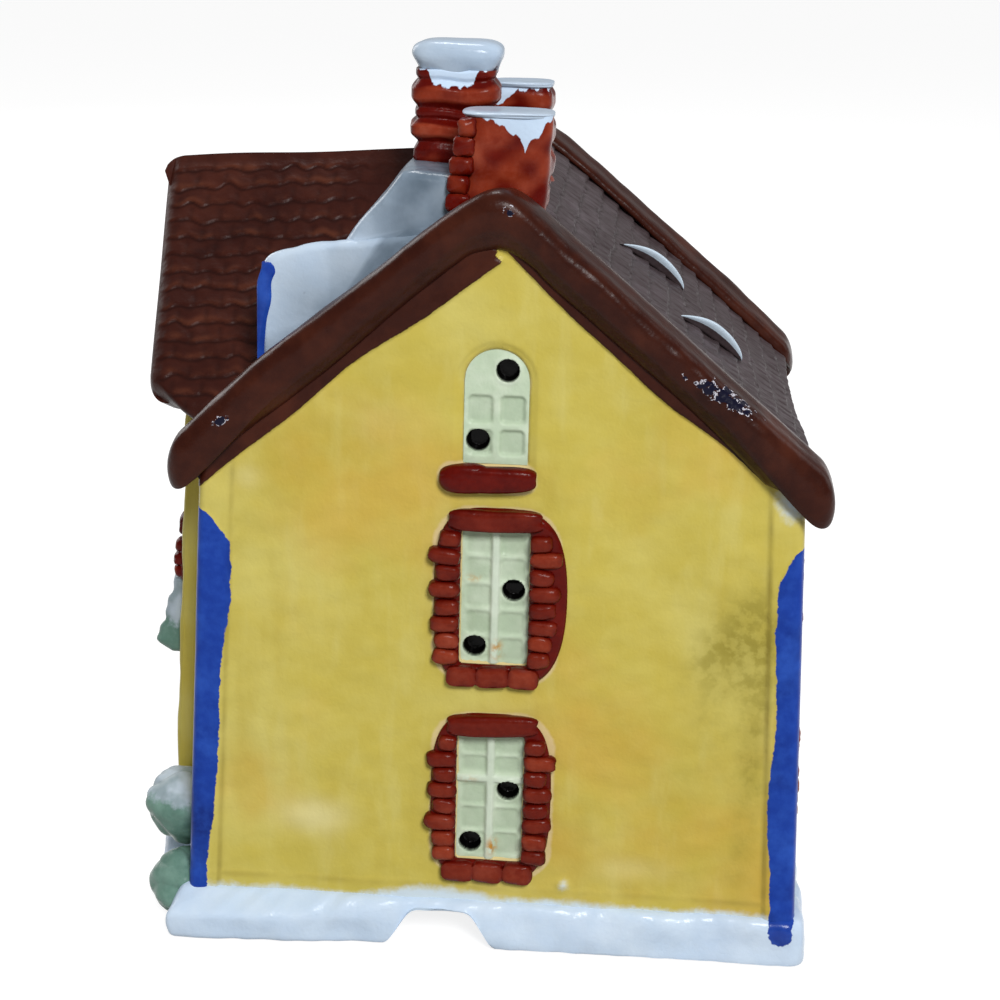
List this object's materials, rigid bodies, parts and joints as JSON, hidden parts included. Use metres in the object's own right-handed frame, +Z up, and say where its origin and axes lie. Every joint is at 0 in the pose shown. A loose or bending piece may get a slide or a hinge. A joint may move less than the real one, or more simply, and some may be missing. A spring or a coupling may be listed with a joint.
{
  "type": "ceramic christmas village house",
  "caption": "Glazed ceramic village house with a steep gable, a front wing, brick chimneys and snow, open below for a clip-in lamp that glows through holes in its windows.",
  "frame": {"origin": "middle of the bounding box, on the table it stands on", "axes": "+Z up; -Y out of the gable with the cord notch; -X out of the front wing"},
  "size_m": [0.1212, 0.1066, 0.154],
  "materials": {
    "wall_yellow": "hand-painted mottled ochre under a clear glaze",
    "roof_brown": "painted brown tiles under a clear glaze",
    "verge_brown": "painted dark brown under a clear glaze",
    "brick_red": "painted brick red under a clear glaze",
    "pane": "pale cream glaze",
    "snow": "white glaze, faintly blue",
    "blue": "brushed cobalt blue under a clear glaze",
    "bush_green": "grey green under a clear glaze",
    "door_brown": "painted brown under a clear glaze",
    "bare_clay": "unglazed fired white clay",
    "holder": "moulded white plastic",
    "spring_steel": "bare spring steel",
    "bulb_brass": "bare brass",
    "bulb_glass": "clear glass",
    "bulb_stem": "clear glass"
  },
  "bodies": {
    "house": {"bush_far": "bush_green", "bush_low": "bush_green", "bush_tall": "bush_green", "chimney_front": "brick_red", "chimney_left": "brick_red", "chimney_rear": "brick_red", "corner_strips": "blue", "door_step": "snow", "door_surround": "brick_red", "dormer_body": "snow", "dormer_trim": "blue", "dormer_window": "pane", "eyebrow_lower": "snow", "eyebrow_upper": "snow", "far_attic_sill": "brick_red", "far_attic_window": "pane", "far_gable_wall": "wall_yellow", "far_lower_surround": "brick_red", "far_lower_window": "pane", "far_middle_surround": "brick_red", "far_middle_window": "pane", "far_verge": "verge_brown", "floor_plate": "bare_clay", "front_cap": "snow", "front_door": "door_brown", "left_cap": "snow", "left_wall_far": "wall_yellow", "left_wall_near": "wall_yellow", "main_roof_left": "roof_brown", "main_roof_right": "roof_brown", "near_attic_sill": "brick_red", "near_attic_window": "pane", "near_gable_wall": "wall_yellow", "near_lower_surround": "brick_red", "near_lower_window": "pane", "near_middle_surround": "brick_red", "near_middle_window": "pane", "near_verge": "verge_brown", "rear_cap": "snow", "right_surrounds": "brick_red", "right_wall": "wall_yellow", "right_windows": "pane", "snow_base": "snow", "snow_drift": "snow", "window_boxes": "snow", "wing_far_wall": "wall_yellow", "wing_front_wall": "wall_yellow", "wing_near_wall": "wall_yellow", "wing_roof_far": "roof_brown", "wing_roof_near": "roof_brown", "wing_surrounds": "brick_red", "wing_verge": "verge_brown", "wing_windows": "pane"},
    "lamp": {"lamp_holder": "holder", "lamp_clips": "spring_steel"},
    "bulb": {"bulb_cap": "bulb_brass", "bulb_glass": "bulb_glass", "bulb_stem": "bulb_stem"}
  },
  "joints": [
    {"name": "lamp_slide", "type": "slide", "parent": "house", "child": "lamp", "axis": [0, 0, -1], "range_m": [0, 0.065]},
    {"name": "bulb_turn", "type": "hinge", "parent": "lamp", "child": "bulb", "pos_m": [0.00465, 0, 0.03], "axis": [0, 0, 1], "range_deg": [0, 1080]}
  ]
}
